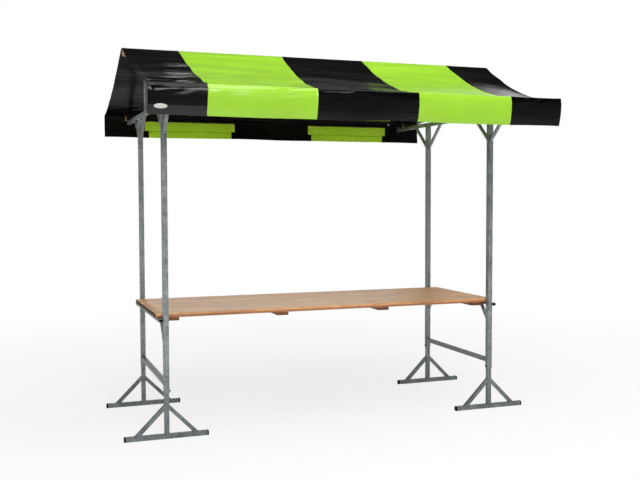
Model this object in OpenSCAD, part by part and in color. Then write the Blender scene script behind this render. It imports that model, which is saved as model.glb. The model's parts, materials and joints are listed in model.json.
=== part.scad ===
// Knock-down market stall: two galvanised end frames on splayed feet, a planked
// table between them and a ridged, striped canopy over timber beams.
// X runs along the stall, Y from the front (-Y) to the back, Z up from the ground.

/* [End frames] */
// Distance between the end frames, post middle to post middle
frame_pitch = 2390; // [1700:10:3200]
// Distance between a frame's front and back posts, middle to middle
post_pitch = 990; // [960:10:1200]
// Height of the top face of the head rails
head_height = 2185; // [1800:5:2700]
// Length of a head rail, front end to back end
head_rail_len = 2180; // [1700:10:2700]
// Height of the bottom end of a post, above the ground
post_bottom = 300; // [250:5:360]
// Height of a lower rail's middle line above the bottom ends of its posts
lower_rail_rise = 58; // [45:1:100]

/* [Tubes] */
// Outside size of the square tube of feet, rails and king posts
tube = 30; // [25:1:40]
// Wall of every steel tube
wall = 2; // [1.5:0.5:3]
// Free space between a foot stub and the post that slides over it, each side
sleeve_gap = 0.4; // [0.2:0.1:1]
// Outside size of the square tube of the knee braces
knee_tube = 20; // [16:1:26]
// Height of the flat tube that carries the table
bearer_h = 20; // [15:1:30]

/* [Feet] */
// Length of a foot bar
foot_len = 530; // [480:10:700]
// Thickness of a foot brace
foot_brace_t = 25; // [16:1:30]
// Reach of a foot brace's middle line along the bar, from the stub's face
foot_brace_reach = 175; // [130:5:190]
// Rise of a foot brace's middle line up the stub, from the bar's top face
foot_brace_rise = 175; // [130:5:200]
// Height of the top end of a foot stub inside its post
stub_top = 480; // [440:10:600]
// Thickness of the head of the plastic cap on a bar's end
cap_t = 10; // [2:0.5:12]
// Depth of the cap's plug inside the bar
cap_plug = 15; // [8:1:25]

/* [Knee braces] */
// Reach of a head brace's middle line along the head rail, from the post's face
head_brace_reach = 200; // [120:5:240]
// Drop of a head brace's middle line down the post, from the head rail
head_brace_drop = 175; // [120:5:260]
// Reach of a table brace's middle line, from the post's face
table_brace_reach = 120; // [80:5:180]
// Drop of a table brace's middle line down the post, from the board
table_brace_drop = 140; // [90:5:200]

/* [Table] */
// Height of the table's top face
table_height = 810; // [670:5:980]
// Overhang of the board beyond the middle of a frame
table_over = 55; // [50:1:120]
// Free space between the board's long edges and the posts
table_gap = 27.5; // [5:0.5:100]
// Thickness of the table board
board_t = 28; // [20:1:40]
// Width of a batten under the board
batten_w = 82; // [50:1:120]
// Height of a batten under the board
batten_h = 25; // [15:1:40]
// Distance of a batten's ends from the board's long edges
batten_inset = 30; // [10:1:100]
// Free space between the end battens and the posts
batten_gap = 4; // [2:1:200]

/* [Timber beams] */
// Width of the ridge beam and the eaves beams
beam_w = 45; // [35:1:60]
// Height of the ridge beam
ridge_beam_h = 45; // [35:1:70]
// Height of an eaves beam
eaves_beam_h = 37; // [30:1:60]
// Overhang of an eaves beam beyond a post's middle
eaves_beam_over = 35; // [20:5:80]

/* [Canopy] */
// Rise of the canopy's ridge above the top faces of the head rails
ridge_rise = 398; // [300:1:600]
// Overhang of the canopy beyond the middle of a frame
canopy_over = 195; // [120:5:400]
// Thickness of the canopy sheet
canopy_t = 4; // [2:0.5:6]
// How far a roof slope sags below a straight line
slope_sag = 45; // [0:5:60]
// How far the valance hangs below the top faces of the head rails
valance_hang = 140; // [80:5:400]
// How far the valance bulges outwards halfway down
valance_bulge = 10; // [0:1:25]
// Free space between the sheet and the beams under it
sheet_gap = 0.3; // [0.3:0.1:2]

/* [Hidden] */

LEFT = -1;
RIGHT = 1;
FRONT = -1;
BACK = 1;

post_w = tube + 2 * (wall + sleeve_gap);
frame_x = frame_pitch / 2;
post_y = post_pitch / 2;
board_under = table_height - board_t;
table_len = frame_pitch + 2 * table_over;
table_depth = post_pitch - post_w - 2 * table_gap;
batten_count = 4;
end_batten_x = frame_x - post_w / 2 - batten_gap - batten_w / 2;

// Lock screw through the inner wall of each post, pressing on the stub
screw_d = 8;
screw_hole_d = 8.4;
screw_height = post_bottom + 11;
screw_nut_d = 15;
screw_nut_t = 7;
screw_end = 4;
// Two small round holes across each stub, just under the post's end
stub_hole_d = 8;
stub_hole_drop = 13;
stub_hole_pitch = 28;

// Steel plate over each end of a head rail, turned up beside the eaves beam
hook_t = 4;
hook_rise = 25;

// Round studs that the canopy's loops hook on
stud_d = 14;
stud_t = 8;
stud_from_post = 120;
stud_below_top = 14;

// Steel clip under each end of the ridge beam
clip_len = 30;
clip_w = 25;
clip_t = 5;
clip_inset = 12;

head_under = head_height - tube;
eaves_top = head_height + eaves_beam_h;
beam_out_y = head_rail_len / 2;
beam_mid_y = beam_out_y - beam_w / 2;
ridge_height = head_height + ridge_rise;
valance_bottom = head_height - valance_hang;
canopy_len = frame_pitch + 2 * canopy_over;
ridge_beam_inset = 5;
ridge_beam_len = canopy_len - 2 * ridge_beam_inset;
ridge_beam_top = ridge_height - canopy_t - sheet_gap;
ridge_beam_under = ridge_beam_top - ridge_beam_h;

// Half of the canopy's outline, as [y, z] points from the ridge to the hem.
// The sheet lies flat over the ridge beam, sags in a quadratic curve to the
// eaves beam, turns round its outer corner and hangs down as the valance, which
// leans out to its middle and back in to the hem.
slope_steps = 6;
fold_steps = 4;
valance_steps = 2;
ridge_edge = [beam_w / 2 + canopy_t, ridge_height];
fold_inset = 10;
fold_mid = [beam_out_y - fold_inset, eaves_top - fold_inset];
fold_r = norm([fold_inset, fold_inset]) + sheet_gap + canopy_t;
fold_start_drop = (ridge_height - fold_mid[1] - fold_r) - 4 * slope_sag;
fold_angle = 90 - atan(fold_start_drop / (fold_mid[0] - ridge_edge[0]));
fold_start = fold_mid + fold_r * [cos(fold_angle), sin(fold_angle)];
slope_pull = (ridge_edge + fold_start) / 2 - [0, 2 * slope_sag];
valance_drop = fold_mid[1] - valance_bottom;

function slope_point(t) =
    (1 - t) * (1 - t) * ridge_edge + 2 * t * (1 - t) * slope_pull + t * t * fold_start;
function fold_point(t) =
    let(a = fold_angle * (1 - t)) fold_mid + fold_r * [cos(a), sin(a)];
function valance_point(t) =
    [fold_mid[0] + fold_r + valance_bulge * (1 - abs(2 * t - 1)), fold_mid[1] - valance_drop * t];

half_outline = concat(
    [for (i = [0 : slope_steps]) slope_point(i / slope_steps)],
    [for (i = [1 : fold_steps]) fold_point(i / fold_steps)],
    [for (i = [1 : valance_steps]) valance_point(i / valance_steps)]
);
half_count = len(half_outline);
outline = concat(
    [for (i = [half_count - 1 : -1 : 0]) [-half_outline[i][0], half_outline[i][1]]],
    half_outline
);
last = len(outline) - 1;

// Direction across the sheet at outline point i, towards its inner side
function inward(i) =
    let(
        a = outline[max(i - 1, 0)],
        b = outline[min(i + 1, last)],
        run = (b - a) / norm(b - a)
    )
    [run[1], -run[0]];
inner_outline = [for (i = [last : -1 : 0]) outline[i] + canopy_t * inward(i)];

steel = "#8e999b";
dark_steel = "#6f7778";
timber = "#c49a72";
board_colour = "#c8a68a";
sheet_colour = "#aaf03c";
cap_colour = "#1c1c1c";
white_plastic = "#e8e6e0";

// Moves a piece drawn at the right-hand frame to the frame on that side
module on_side(side) {
    mirror([side == LEFT ? 1 : 0, 0, 0])
        children();
}

// A hollow tube that stands on its end, centred on the Z axis
module upright_tube(w, d, h) {
    difference() {
        translate([-w / 2, -d / 2, 0])
            cube([w, d, h]);
        translate([-w / 2 + wall, -d / 2 + wall, -1])
            cube([w - 2 * wall, d - 2 * wall, h + 2]);
    }
}

// A hollow tube that lies along Y, centred on the Y axis
module cross_tube(w, h, length) {
    translate([0, length / 2, 0])
        rotate([90, 0, 0])
            upright_tube(w, h, length);
}

// A square brace in the corner between a face at u = 0 and a level at z = 0.
// Its middle line runs from [0, rise] to [reach, 0], and t is its thickness.
module corner_brace(reach, rise, t) {
    slope = atan(rise / reach);
    across = t / 2 / sin(slope);
    up = t / 2 / cos(slope);
    rotate([90, 0, 0])
        translate([0, 0, -t / 2])
            linear_extrude(t)
                polygon([
                    [reach - across, 0],
                    [reach + across, 0],
                    [0, rise + up],
                    [0, rise - up],
                ]);
}

// One foot about its post's axis: a bar on the ground, a stub and two braces
module foot() {
    color(steel)
        difference() {
            union() {
                translate([-foot_len / 2, -tube / 2, 0])
                    cube([foot_len, tube, tube]);
                translate([-tube / 2, -tube / 2, 0])
                    cube([tube, tube, stub_top]);
                for (turn = [0, 180])
                    rotate([0, 0, turn])
                        translate([tube / 2, 0, tube])
                            corner_brace(foot_brace_reach, foot_brace_rise, foot_brace_t);
            }
            translate([-foot_len / 2 - 1, -tube / 2 + wall, wall])
                cube([foot_len + 2, tube - 2 * wall, tube - 2 * wall]);
            translate([-tube / 2 + wall, -tube / 2 + wall, tube])
                cube([tube - 2 * wall, tube - 2 * wall, stub_top]);
            for (i = [0, 1])
                translate([0, tube, post_bottom - stub_hole_drop - i * stub_hole_pitch])
                    rotate([90, 0, 0])
                        cylinder(d = stub_hole_d, h = 2 * tube, $fn = 32);
        }
}

module foot_at(side, depth) {
    translate([side * frame_x, depth * post_y, 0])
        foot();
}

// One end cap: a plate over the bar's end and a plug inside it
module foot_cap() {
    translate([foot_len / 2, -tube / 2, 0])
        cube([cap_t, tube, tube]);
    translate([foot_len / 2 - cap_plug, -tube / 2 + wall, wall])
        cube([cap_plug, tube - 2 * wall, tube - 2 * wall]);
}

module foot_caps(side) {
    color(cap_colour)
        for (depth = [FRONT, BACK], turn = [0, 180])
            translate([side * frame_x, depth * post_y, 0])
                rotate([0, 0, turn])
                    foot_cap();
}

// One post: a sleeve over the foot stub, up to the head rail
module post(side, depth) {
    color(steel)
        on_side(side)
            translate([frame_x, depth * post_y, 0])
                difference() {
                    translate([0, 0, post_bottom])
                        upright_tube(post_w, post_w, head_under - post_bottom);
                    translate([0, 0, screw_height])
                        rotate([0, -90, 0])
                            cylinder(d = screw_hole_d, h = post_w, $fn = 32);
                }
}

// Lock screws of one frame: a welded nut on each post, and the screw through it
module lock_screws(side) {
    reach = (post_w - tube) / 2;
    color(dark_steel)
        on_side(side)
            for (depth = [FRONT, BACK])
                translate([frame_x - tube / 2, depth * post_y, screw_height])
                    rotate([0, -90, 0]) {
                        cylinder(d = screw_d, h = reach + screw_nut_t + screw_end, $fn = 32);
                        translate([0, 0, reach])
                            cylinder(d = screw_nut_d, h = screw_nut_t, $fn = 6);
                    }
}

module lower_rail(side) {
    color(steel)
        translate([side * frame_x, 0, post_bottom + lower_rail_rise])
            cross_tube(tube, tube, post_pitch - post_w);
}

// Flat tube on the outer faces of both posts, under the ends of the board
module table_bearer(side) {
    color(steel)
        on_side(side)
            translate([frame_x + post_w / 2 + tube / 2, 0, board_under - bearer_h / 2])
                cross_tube(tube, bearer_h, post_pitch + post_w);
}

// Two knee braces beside the bearer, from each post up to the board
module table_braces(side) {
    color(steel)
        on_side(side)
            for (turn = [0, 180])
                translate([frame_x + post_w / 2 - knee_tube / 2, 0, 0])
                    rotate([0, 0, turn])
                        translate([0, post_y - post_w / 2, board_under])
                            rotate([0, 0, -90])
                                mirror([0, 0, 1])
                                    corner_brace(table_brace_reach, table_brace_drop, knee_tube);
}

module head_rail(side) {
    color(steel)
        translate([side * frame_x, 0, head_height - tube / 2])
            cross_tube(tube, tube, head_rail_len);
}

module beam_hooks(side) {
    color(steel)
        for (depth = [FRONT, BACK])
            translate([
                side * frame_x - tube / 2,
                depth * (beam_out_y + hook_t / 2) - hook_t / 2,
                head_under,
            ])
                cube([tube, hook_t, tube + hook_rise]);
}

// Four knee braces between the posts and the head rail of one frame
module head_braces(side) {
    color(steel)
        for (depth = [FRONT, BACK], turn = [90, 270])
            translate([side * frame_x, depth * post_y, head_under])
                rotate([0, 0, turn])
                    translate([post_w / 2, 0, 0])
                        mirror([0, 0, 1])
                            corner_brace(head_brace_reach, head_brace_drop, knee_tube);
}

// King post on the outer face of the head rail, up to the ridge beam
module king_post(side) {
    color(steel)
        translate([side * (frame_x + tube), 0, head_under])
            upright_tube(tube, tube, ridge_beam_under - head_under);
}

module ridge_clip(side) {
    color(steel)
        on_side(side)
            translate([
                ridge_beam_len / 2 - clip_inset - clip_len,
                -clip_w / 2,
                ridge_beam_under - clip_t,
            ])
                cube([clip_len, clip_w, clip_t]);
}

module ridge_beam() {
    color(timber)
        translate([-ridge_beam_len / 2, -beam_w / 2, ridge_beam_under])
            cube([ridge_beam_len, beam_w, ridge_beam_h]);
}

module eaves_beam(depth) {
    length = frame_pitch + 2 * eaves_beam_over;
    color(timber)
        translate([-length / 2, depth * beam_mid_y - beam_w / 2, head_height])
            cube([length, beam_w, eaves_beam_h]);
}

// Round studs on the inner face of an eaves beam, one near each frame
module beam_studs(depth) {
    color(white_plastic)
        for (side = [LEFT, RIGHT])
            translate([
                side * (frame_x - stud_from_post),
                depth * (beam_out_y - beam_w),
                eaves_top - stud_below_top,
            ])
                rotate([depth * 90, 0, 0])
                    cylinder(d = stud_d, h = stud_t, $fn = 32);
}

module table_board() {
    color(board_colour)
        translate([-table_len / 2, -table_depth / 2, board_under])
            cube([table_len, table_depth, board_t]);
}

// Battens across the underside of the board, evenly spaced between the frames
module table_battens() {
    batten_len = table_depth - 2 * batten_inset;
    color(timber)
        for (i = [0 : batten_count - 1])
            translate([
                end_batten_x * (2 * i / (batten_count - 1) - 1) - batten_w / 2,
                -batten_len / 2,
                board_under - batten_h,
            ])
                cube([batten_w, batten_len, batten_h]);
}

module canopy() {
    color(sheet_colour)
        translate([-canopy_len / 2, 0, 0])
            rotate([90, 0, 90])
                linear_extrude(canopy_len)
                    polygon(concat(outline, inner_outline));
}

// Bare oval patch on the front valance, low down near its left end
patch_len = 78;
patch_h = 28;
patch_t = 1;
patch_from_end = 74;
patch_rise = 41;

module blank_patch() {
    t = 1 - patch_rise / valance_drop;
    tilt = atan(2 * valance_bulge / valance_drop);
    color(white_plastic)
        translate([
            patch_from_end - canopy_len / 2,
            -valance_point(t)[0] - sheet_gap,
            valance_bottom + patch_rise,
        ])
            rotate([90 + tilt, 0, 0])
                scale([patch_len / patch_h, 1, 1])
                    cylinder(d = patch_h, h = patch_t, $fn = 48);
}

foot_at(LEFT, FRONT);  // left_front_foot
foot_at(LEFT, BACK);  // left_back_foot
foot_at(RIGHT, FRONT);  // right_front_foot
foot_at(RIGHT, BACK);  // right_back_foot
foot_caps(LEFT);  // left_foot_caps
foot_caps(RIGHT);  // right_foot_caps
post(LEFT, FRONT);  // left_front_post
post(LEFT, BACK);  // left_back_post
post(RIGHT, FRONT);  // right_front_post
post(RIGHT, BACK);  // right_back_post
lock_screws(LEFT);  // left_lock_screws
lock_screws(RIGHT);  // right_lock_screws
lower_rail(LEFT);  // left_lower_rail
lower_rail(RIGHT);  // right_lower_rail
table_bearer(LEFT);  // left_table_bearer
table_bearer(RIGHT);  // right_table_bearer
table_braces(LEFT);  // left_table_braces
table_braces(RIGHT);  // right_table_braces
head_rail(LEFT);  // left_head_rail
head_rail(RIGHT);  // right_head_rail
beam_hooks(LEFT);  // left_beam_hooks
beam_hooks(RIGHT);  // right_beam_hooks
head_braces(LEFT);  // left_head_braces
head_braces(RIGHT);  // right_head_braces
king_post(LEFT);  // left_king_post
king_post(RIGHT);  // right_king_post
ridge_clip(LEFT);  // left_ridge_clip
ridge_clip(RIGHT);  // right_ridge_clip
ridge_beam();
eaves_beam(FRONT);  // front_eaves_beam
eaves_beam(BACK);  // back_eaves_beam
beam_studs(FRONT);  // front_beam_studs
beam_studs(BACK);  // back_beam_studs
table_board();
table_battens();
canopy();
blank_patch();
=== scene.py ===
"""Finish of a knock-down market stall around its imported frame.

X runs along the stall, Y from the front (-Y) to the back, Z up from the ground.
All sizes are in metres and all places come from the frame's own boxes.
"""
import json
import math

import bmesh
import bpy
import numpy as np
from mathutils import Matrix, Vector
from mathutils.bvhtree import BVHTree


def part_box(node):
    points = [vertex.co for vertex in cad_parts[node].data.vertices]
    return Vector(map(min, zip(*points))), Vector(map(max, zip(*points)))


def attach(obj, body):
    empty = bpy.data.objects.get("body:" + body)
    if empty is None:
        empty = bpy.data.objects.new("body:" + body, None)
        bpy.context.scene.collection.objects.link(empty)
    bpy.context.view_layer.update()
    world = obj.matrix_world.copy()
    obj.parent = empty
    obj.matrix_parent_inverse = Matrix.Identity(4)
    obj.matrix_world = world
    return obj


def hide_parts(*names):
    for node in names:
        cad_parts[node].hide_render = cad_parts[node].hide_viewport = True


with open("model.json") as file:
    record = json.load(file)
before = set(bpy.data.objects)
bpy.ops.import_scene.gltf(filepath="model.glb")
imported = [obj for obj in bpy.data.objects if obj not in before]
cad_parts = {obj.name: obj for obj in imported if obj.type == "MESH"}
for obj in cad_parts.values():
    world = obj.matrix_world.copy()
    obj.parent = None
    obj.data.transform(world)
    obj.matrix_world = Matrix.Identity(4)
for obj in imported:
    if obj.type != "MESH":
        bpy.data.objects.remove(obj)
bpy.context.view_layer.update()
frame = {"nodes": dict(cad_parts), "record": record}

nodes = frame["nodes"]
MM = 0.001
LEFT, RIGHT = -1, 1
FRONT, BACK = -1, 1
LOW, HIGH = 0, 1
X, Y, Z = 0, 1, 2


# ---------------------------------------------------------------- camera

CAMERA_PLACE = (-2.179, -6.138, 1.556)
CAMERA_YAW = math.radians(19.94)
CAMERA_PITCH = math.radians(-2.71)
CAMERA_ROLL = math.radians(-0.16)
CAMERA_LENS = 49.34


def make_camera():
    """A camera that looks from the stall's front left, turned to the right by its yaw."""
    data = bpy.data.cameras.new("camera")
    data.lens = CAMERA_LENS
    data.sensor_width = 36
    camera = bpy.data.objects.new("camera", data)
    bpy.context.scene.collection.objects.link(camera)
    turn = (
        Matrix.Rotation(-CAMERA_YAW, 4, "Z")
        @ Matrix.Rotation(math.pi / 2 + CAMERA_PITCH, 4, "X")
        @ Matrix.Rotation(CAMERA_ROLL, 4, "Z")
    )
    camera.matrix_world = Matrix.Translation(CAMERA_PLACE) @ turn
    bpy.context.scene.camera = camera


make_camera()


# ---------------------------------------------------------------- numbers on arrays

def smooth_step(x, low, high):
    """0 below low, 1 above high and an S-shaped cubic between them."""
    t = np.clip((x - low) / (high - low), 0, 1)
    return t * t * (3 - 2 * t)


def eased(x, knots, values):
    """Passes through each value at its knot, level there, by the S-shaped cubic between."""
    knots = np.asarray(knots, float)
    values = np.asarray(values, float)
    i = np.clip(np.searchsorted(knots, x) - 1, 0, len(knots) - 2)
    t = smooth_step(x, knots[i], knots[i + 1])
    return values[i] * (1 - t) + values[i + 1] * t


def ripples(u, v, length_u, length_v, seed, count=28):
    """Band-limited noise of about unit size: a sum of cosine waves of random phase, whose
    crests are about length_u apart along u and length_v apart along v."""
    draw = np.random.default_rng(seed)
    turn = draw.uniform(0, 2 * math.pi, count)
    size = draw.uniform(0.6, 1.4, count)
    phase = draw.uniform(0, 2 * math.pi, count)
    total = np.zeros(np.broadcast(u, v).shape)
    for a, s, p in zip(turn, size, phase):
        wave_u = 2 * math.pi * s * math.cos(a) / length_u
        wave_v = 2 * math.pi * s * math.sin(a) / length_v
        total = total + np.cos(wave_u * u + wave_v * v + p)
    return total * math.sqrt(2 / count)


# ---------------------------------------------------------------- meshes

def new_piece(name, points, faces, materials, face_material=None):
    """Makes one mesh object at the origin that rides on the stall's only body."""
    mesh = bpy.data.meshes.new(name)
    points = np.asarray(points, np.float32).reshape(-1, 3)
    faces = np.asarray(faces, np.int32)
    mesh.vertices.add(len(points))
    mesh.vertices.foreach_set("co", points.ravel())
    mesh.loops.add(faces.size)
    mesh.loops.foreach_set("vertex_index", faces.ravel())
    mesh.polygons.add(len(faces))
    mesh.polygons.foreach_set("loop_start", np.arange(len(faces), dtype=np.int32) * faces.shape[1])
    for material in materials:
        mesh.materials.append(material)
    if face_material is not None:
        mesh.polygons.foreach_set("material_index", np.asarray(face_material, np.int32))
    mesh.polygons.foreach_set("use_smooth", np.full(len(faces), True))
    mesh.update(calc_edges=True)
    mesh.validate()
    piece = bpy.data.objects.new(name, mesh)
    bpy.context.scene.collection.objects.link(piece)
    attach(piece, "root")
    return piece


def turn_outward(piece, change=None):
    """Lets change edit a piece's mesh, if one is given, and turns its normals outward."""
    work = bmesh.new()
    work.from_mesh(piece.data)
    if change:
        change(work)
    bmesh.ops.recalc_face_normals(work, faces=work.faces)
    work.to_mesh(piece.data)
    work.free()


def grid_faces(rows, columns, first=0, wrap_rows=False, wrap_columns=False):
    """Quads between the neighbours of a rows x columns grid of points, stored row by row."""
    r = np.arange(rows if wrap_rows else rows - 1)[:, None]
    c = np.arange(columns if wrap_columns else columns - 1)[None, :]
    r_next = (r + 1) % rows
    c_next = (c + 1) % columns
    corners = ((r, c), (r_next, c), (r_next, c_next), (r, c_next))
    quads = [np.broadcast_to(row * columns + column, (r.size, c.size)) for row, column in corners]
    return first + np.stack(quads, -1).reshape(-1, 4)


# ---------------------------------------------------------------- shader nodes

def linear(hex_colour):
    """An sRGB hex colour as the linear RGBA that a shader socket takes."""
    values = [int(hex_colour[i:i + 2], 16) / 255 for i in (1, 3, 5)]
    return [v / 12.92 if v <= 0.04045 else ((v + 0.055) / 1.055) ** 2.4 for v in values] + [1.0]


def add(tree, kind, inputs=None, stops=None, **settings):
    """Adds one shader node. inputs maps a socket to a value or to the output that feeds it,
    and stops are a colour ramp's (position, colour) pairs."""
    made = tree.nodes.new("ShaderNode" + kind)
    for key, value in settings.items():
        setattr(made, key, value)
    for key, value in (inputs or {}).items():
        if isinstance(value, bpy.types.NodeSocket):
            tree.links.new(value, made.inputs[key])
        else:
            made.inputs[key].default_value = value
    if stops:
        ramp = made.color_ramp.elements
        while len(ramp) < len(stops):
            ramp.new(1.0)
        for element, (position, colour) in zip(ramp, stops):
            element.position = position
            element.color = linear(colour) if isinstance(colour, str) else (colour, colour, colour, 1)
    return made


def new_material(name):
    """An empty node material: its tree, and the Principled shader joined to its output."""
    material = bpy.data.materials.new(name)
    material.use_nodes = True
    tree = material.node_tree
    tree.nodes.clear()
    surface = add(tree, "BsdfPrincipled")
    add(tree, "OutputMaterial", {"Surface": surface.outputs[0]})
    return material, tree, surface


def noise(tree, place, size, detail=3.0, roughness=0.5, stretch=(1, 1, 1)):
    """Noise whose features are about size across, drawn out along an axis by its stretch."""
    scaled = add(tree, "Mapping", {"Vector": place, "Scale": [1 / (size * s) for s in stretch]})
    return add(tree, "TexNoise", {
        "Vector": scaled.outputs[0], "Scale": 1.0, "Detail": detail, "Roughness": roughness,
    }).outputs["Fac"]


def mixed(tree, factor, low, high, blend="MIX"):
    """A colour between low and high, by a factor that is a value or an output."""
    return add(tree, "Mix", {0: factor, 6: low, 7: high}, data_type="RGBA", blend_type=blend).outputs[2]


def remap(tree, value, low, high, to_low, to_high):
    """Maps a value from one range to another, held at both ends."""
    return add(tree, "MapRange", {0: value, 1: low, 2: high, 3: to_low, 4: to_high}).outputs[0]


def bumped(tree, surface, height, distance, strength=1.0):
    """Feeds a height, in parts of distance, to the surface's normal."""
    bump = add(tree, "Bump", {"Height": height, "Distance": distance, "Strength": strength})
    tree.links.new(bump.outputs[0], surface.inputs["Normal"])


def object_place(tree):
    """Each point's place in metres, in its object's own axes."""
    return add(tree, "TexCoord").outputs["Object"]


# ---------------------------------------------------------------- materials

SPLASH_LOW = 0.05
SPLASH_HIGH = 0.6


def galvanised_steel():
    """Galvanised steel, hot dipped: dull blue-grey zinc with faint spangle and runs, soiled
    by splashes near the ground."""
    material, tree, surface = new_material("galvanised_steel_hot_dipped")
    place = object_place(tree)
    spangle_size = 14 * MM  # real crystals are about 6 mm, too fine to show
    scaled = add(tree, "Mapping", {"Vector": place, "Scale": [1 / spangle_size] * 3})
    spangle = add(tree, "TexVoronoi", {"Vector": scaled.outputs[0], "Scale": 1.0})
    cloud = noise(tree, place, 90 * MM, detail=4)
    runs = noise(tree, place, 12 * MM, detail=2, stretch=(1, 1, 14))
    base = mixed(tree, remap(tree, cloud, 0.35, 0.7, 0, 1), linear("#7f8889"), linear("#989f9f"))
    grey = add(tree, "SeparateColor", {0: spangle.outputs["Color"]}).outputs[0]
    crystals = mixed(tree, remap(tree, grey, 0, 1, 0, 0.5), base, linear("#c2c8c8"))
    streaked = mixed(tree, remap(tree, runs, 0.5, 0.75, 0, 0.55), crystals, linear("#5a6163"))
    height = add(tree, "SeparateXYZ", {0: place}).outputs[2]
    near_ground = remap(tree, height, SPLASH_LOW, SPLASH_HIGH, 0.46, 0)
    splashes = remap(tree, noise(tree, place, 45 * MM, detail=4), 0.3, 0.7, 0.6, 1.2)
    soil = add(tree, "Math", {0: near_ground, 1: splashes}, operation="MULTIPLY").outputs[0]
    tree.links.new(mixed(tree, soil, streaked, linear("#2f3940")), surface.inputs["Base Color"])
    surface.inputs["Metallic"].default_value = 0.85
    tree.links.new(remap(tree, cloud, 0.3, 0.7, 0.36, 0.56), surface.inputs["Roughness"])
    bumped(tree, surface, add(tree, "Math", {0: runs, 1: cloud}, operation="ADD").outputs[0], 0.3 * MM)
    return material


def weld_steel():
    """Weld metal under cold zinc spray: darker and rougher than the tube beside it."""
    material, tree, surface = new_material("weld_bead_zinc_sprayed")
    speckle = noise(tree, object_place(tree), 5 * MM, detail=3)
    tree.links.new(mixed(tree, speckle, linear("#565c5d"), linear("#868d8d")), surface.inputs["Base Color"])
    surface.inputs["Metallic"].default_value = 0.6
    surface.inputs["Roughness"].default_value = 0.62
    bumped(tree, surface, speckle, 0.4 * MM)
    return material


def zinc_screw_steel():
    """Zinc plated steel, bright dipped: a little darker and shinier than the tube."""
    material, tree, surface = new_material("zinc_plated_screw_steel")
    wear = noise(tree, object_place(tree), 4 * MM)
    tree.links.new(mixed(tree, wear, linear("#3c4244"), linear("#7b8284")), surface.inputs["Base Color"])
    surface.inputs["Metallic"].default_value = 0.9
    tree.links.new(remap(tree, wear, 0.3, 0.7, 0.3, 0.5), surface.inputs["Roughness"])
    bumped(tree, surface, wear, 0.2 * MM)
    return material


def cap_polyethylene():
    """Polyethylene, moulded black: a soft waxy sheen with dusty, scuffed faces."""
    material, tree, surface = new_material("polyethylene_moulded_black")
    dust = noise(tree, object_place(tree), 15 * MM, detail=5)
    tree.links.new(
        mixed(tree, remap(tree, dust, 0.5, 0.8, 0, 1), linear("#040404"), linear("#0e0d0c")),
        surface.inputs["Base Color"],
    )
    tree.links.new(remap(tree, dust, 0.3, 0.7, 0.55, 0.75), surface.inputs["Roughness"])
    surface.inputs["IOR"].default_value = 1.51
    surface.inputs["Specular IOR Level"].default_value = 0.12
    bumped(tree, surface, noise(tree, object_place(tree), 1.2 * MM), 0.05 * MM)
    return material


def stud_plastic():
    """Polyamide, moulded white: smooth and slightly glossy, greyed here and there."""
    material, tree, surface = new_material("polyamide_moulded_white")
    grey = noise(tree, object_place(tree), 6 * MM)
    tree.links.new(mixed(tree, grey, linear("#cfcdc8"), linear("#f2f1ee")), surface.inputs["Base Color"])
    surface.inputs["Roughness"].default_value = 0.34
    surface.inputs["IOR"].default_value = 1.53
    return material


def patch_vinyl():
    """Vinyl patch, heat pressed and left blank: off-white with a faint satin grain."""
    material, tree, surface = new_material("vinyl_patch_heat_pressed")
    place = object_place(tree)
    tint = noise(tree, place, 18 * MM, detail=4)
    tree.links.new(mixed(tree, tint, linear("#bdbbb4"), linear("#dddbd5")), surface.inputs["Base Color"])
    surface.inputs["Roughness"].default_value = 0.42
    bumped(tree, surface, noise(tree, place, 2 * MM), 0.06 * MM)
    return material


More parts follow.
